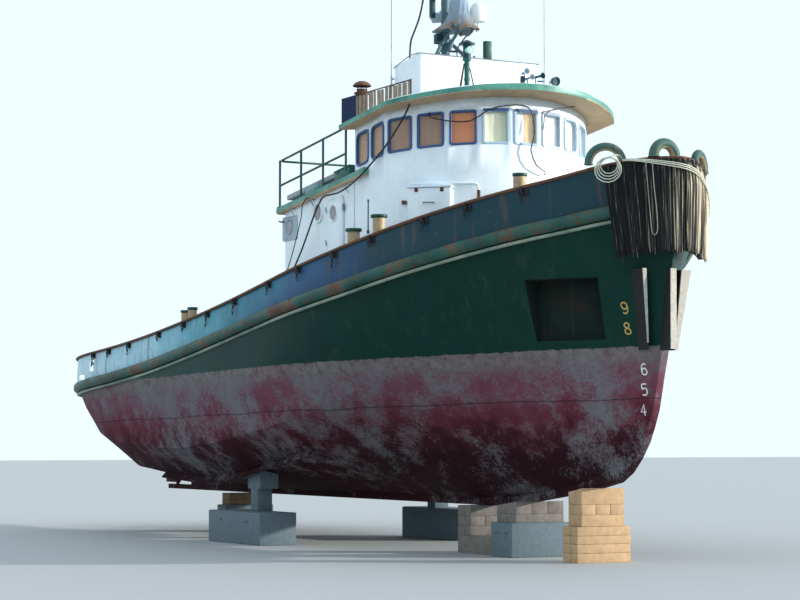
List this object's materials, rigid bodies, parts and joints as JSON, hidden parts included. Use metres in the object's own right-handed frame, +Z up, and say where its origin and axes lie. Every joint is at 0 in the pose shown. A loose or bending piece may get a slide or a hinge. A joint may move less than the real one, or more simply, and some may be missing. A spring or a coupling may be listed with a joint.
{
  "type": "tugboat",
  "caption": "Steel harbour tugboat hauled out on keel blocks, with a round-fronted wheelhouse, bulwarks, rope bow fender, towing bitts, mast, propeller and rudder.",
  "frame": {"origin": "on the ground under the middle of the whole length and breadth, at the blocks' feet", "axes": "+X towards the bow, +Y to port, +Z up"},
  "size_m": [20.403, 6.39, 10.65],
  "materials": {
    "topside_paint": "satin, weathered",
    "bottom_paint": "flat, scaled",
    "bulwark_paint": "satin, faded",
    "rusty_steel": "rusted",
    "white_paint": "gloss, weathered",
    "green_paint": "satin, weathered",
    "grey_paint": "satin",
    "fender_rope": "coarse rope",
    "fender_rubber": "worn",
    "window_glass": "clear over drawn blinds",
    "propeller_bronze": "dull",
    "canvas": "canvas",
    "timber": "rough",
    "concrete_block": null
  },
  "bodies": {
    "boat": {"hull": "topside_paint", "keel_skeg": "bottom_paint", "bilge_keel_starboard": "bottom_paint", "bilge_keel_port": "bottom_paint", "guard_belt_fore": "rusty_steel", "guard_belt_waist_starboard": "rusty_steel", "guard_belt_waist_port": "rusty_steel", "guard_belt_aft": "rusty_steel", "bulwark_fore": "bulwark_paint", "bulwark_waist_starboard": "bulwark_paint", "bulwark_waist_port": "bulwark_paint", "bulwark_aft": "bulwark_paint", "cap_rail_fore": "rusty_steel", "cap_rail_waist_starboard": "rusty_steel", "cap_rail_waist_port": "rusty_steel", "cap_rail_aft": "rusty_steel", "bow_pudding": "fender_rope", "stem_fender_starboard": "fender_rubber", "stem_fender_centre": "fender_rubber", "stem_fender_port": "fender_rubber", "bow_chock_centre": "green_paint", "bow_chock_starboard": "green_paint", "bow_chock_port": "green_paint", "fore_towing_bitts": "green_paint", "side_bitts_starboard": "green_paint", "side_bitts_port": "green_paint", "waist_bitts_starboard": "green_paint", "waist_bitts_port": "green_paint", "aft_towing_bitts": "green_paint", "capstan_base": "green_paint", "skylight_coaming": "green_paint", "aft_hatch_coaming": "green_paint", "deckhouse": "white_paint", "boat_deck": "green_paint", "boat_deck_railing": "green_paint", "raft_rack": "grey_paint", "exhaust_stack": "rusty_steel", "wheelhouse": "white_paint", "wheelhouse_glazing": "window_glass", "wheelhouse_floor": "timber", "wheelhouse_roof": "green_paint", "roof_trunk": "white_paint", "roof_dodger": "canvas", "mast": "grey_paint", "searchlight_post": "green_paint", "keel_block_1": "timber", "keel_block_2": "concrete_block", "keel_block_3": "timber", "bilge_support_starboard": "concrete_block", "bilge_support_port": "concrete_block"},
    "propeller": {"propeller": "propeller_bronze"},
    "rudder": {"rudder": "bottom_paint"},
    "capstan_head": {"capstan_head": "green_paint"},
    "aft_hatch_lid": {"aft_hatch_lid": "green_paint"},
    "skylight_lid_starboard": {"skylight_lid_starboard": "green_paint"},
    "skylight_lid_port": {"skylight_lid_port": "green_paint"},
    "deckhouse_door_starboard": {"deckhouse_door_starboard": "white_paint"},
    "deckhouse_door_port": {"deckhouse_door_port": "white_paint"},
    "radar_scanner": {"radar_scanner": "grey_paint"},
    "searchlight": {"searchlight": "green_paint"}
  },
  "joints": [
    {"name": "propeller_spin", "type": "hinge", "parent": "boat", "child": "propeller", "pos_m": [-8.6365, 0, 1.47], "axis": [1, 0, 0], "continuous": true},
    {"name": "rudder_turn", "type": "hinge", "parent": "boat", "child": "rudder", "pos_m": [-9.1465, 0, 1.5], "axis": [0, 0, 1], "range_deg": [-35, 35]},
    {"name": "capstan_spin", "type": "hinge", "parent": "boat", "child": "capstan_head", "pos_m": [-7.1065, 0, 3.5], "axis": [0, 0, 1], "continuous": true},
    {"name": "hatch_lid_hinge", "type": "hinge", "parent": "boat", "child": "aft_hatch_lid", "pos_m": [-8.0265, 0, 3.3967], "axis": [0, 1, 0], "range_deg": [0, 100]},
    {"name": "skylight_hinge_starboard", "type": "hinge", "parent": "boat", "child": "skylight_lid_starboard", "pos_m": [-1.4815, -0.06, 4.2979], "axis": [1, 0, 0], "range_deg": [-75, 0]},
    {"name": "skylight_hinge_port", "type": "hinge", "parent": "boat", "child": "skylight_lid_port", "pos_m": [-1.4815, 0.06, 4.2979], "axis": [1, 0, 0], "range_deg": [0, 75]},
    {"name": "door_hinge_starboard", "type": "hinge", "parent": "boat", "child": "deckhouse_door_starboard", "pos_m": [2.9735, -2.0345, 5.3], "axis": [0, 0, 1], "range_deg": [0, 170]},
    {"name": "door_hinge_port", "type": "hinge", "parent": "boat", "child": "deckhouse_door_port", "pos_m": [2.9735, 2.0345, 5.3], "axis": [0, 0, 1], "range_deg": [-170, 0]},
    {"name": "radar_spin", "type": "hinge", "parent": "boat", "child": "radar_scanner", "pos_m": [3.8735, -0.25, 9.6], "axis": [0, 0, 1], "continuous": true},
    {"name": "searchlight_pan", "type": "hinge", "parent": "boat", "child": "searchlight", "pos_m": [4.7935, -0.63, 8.5], "axis": [0, 0, 1], "range_deg": [-170, 170]}
  ]
}
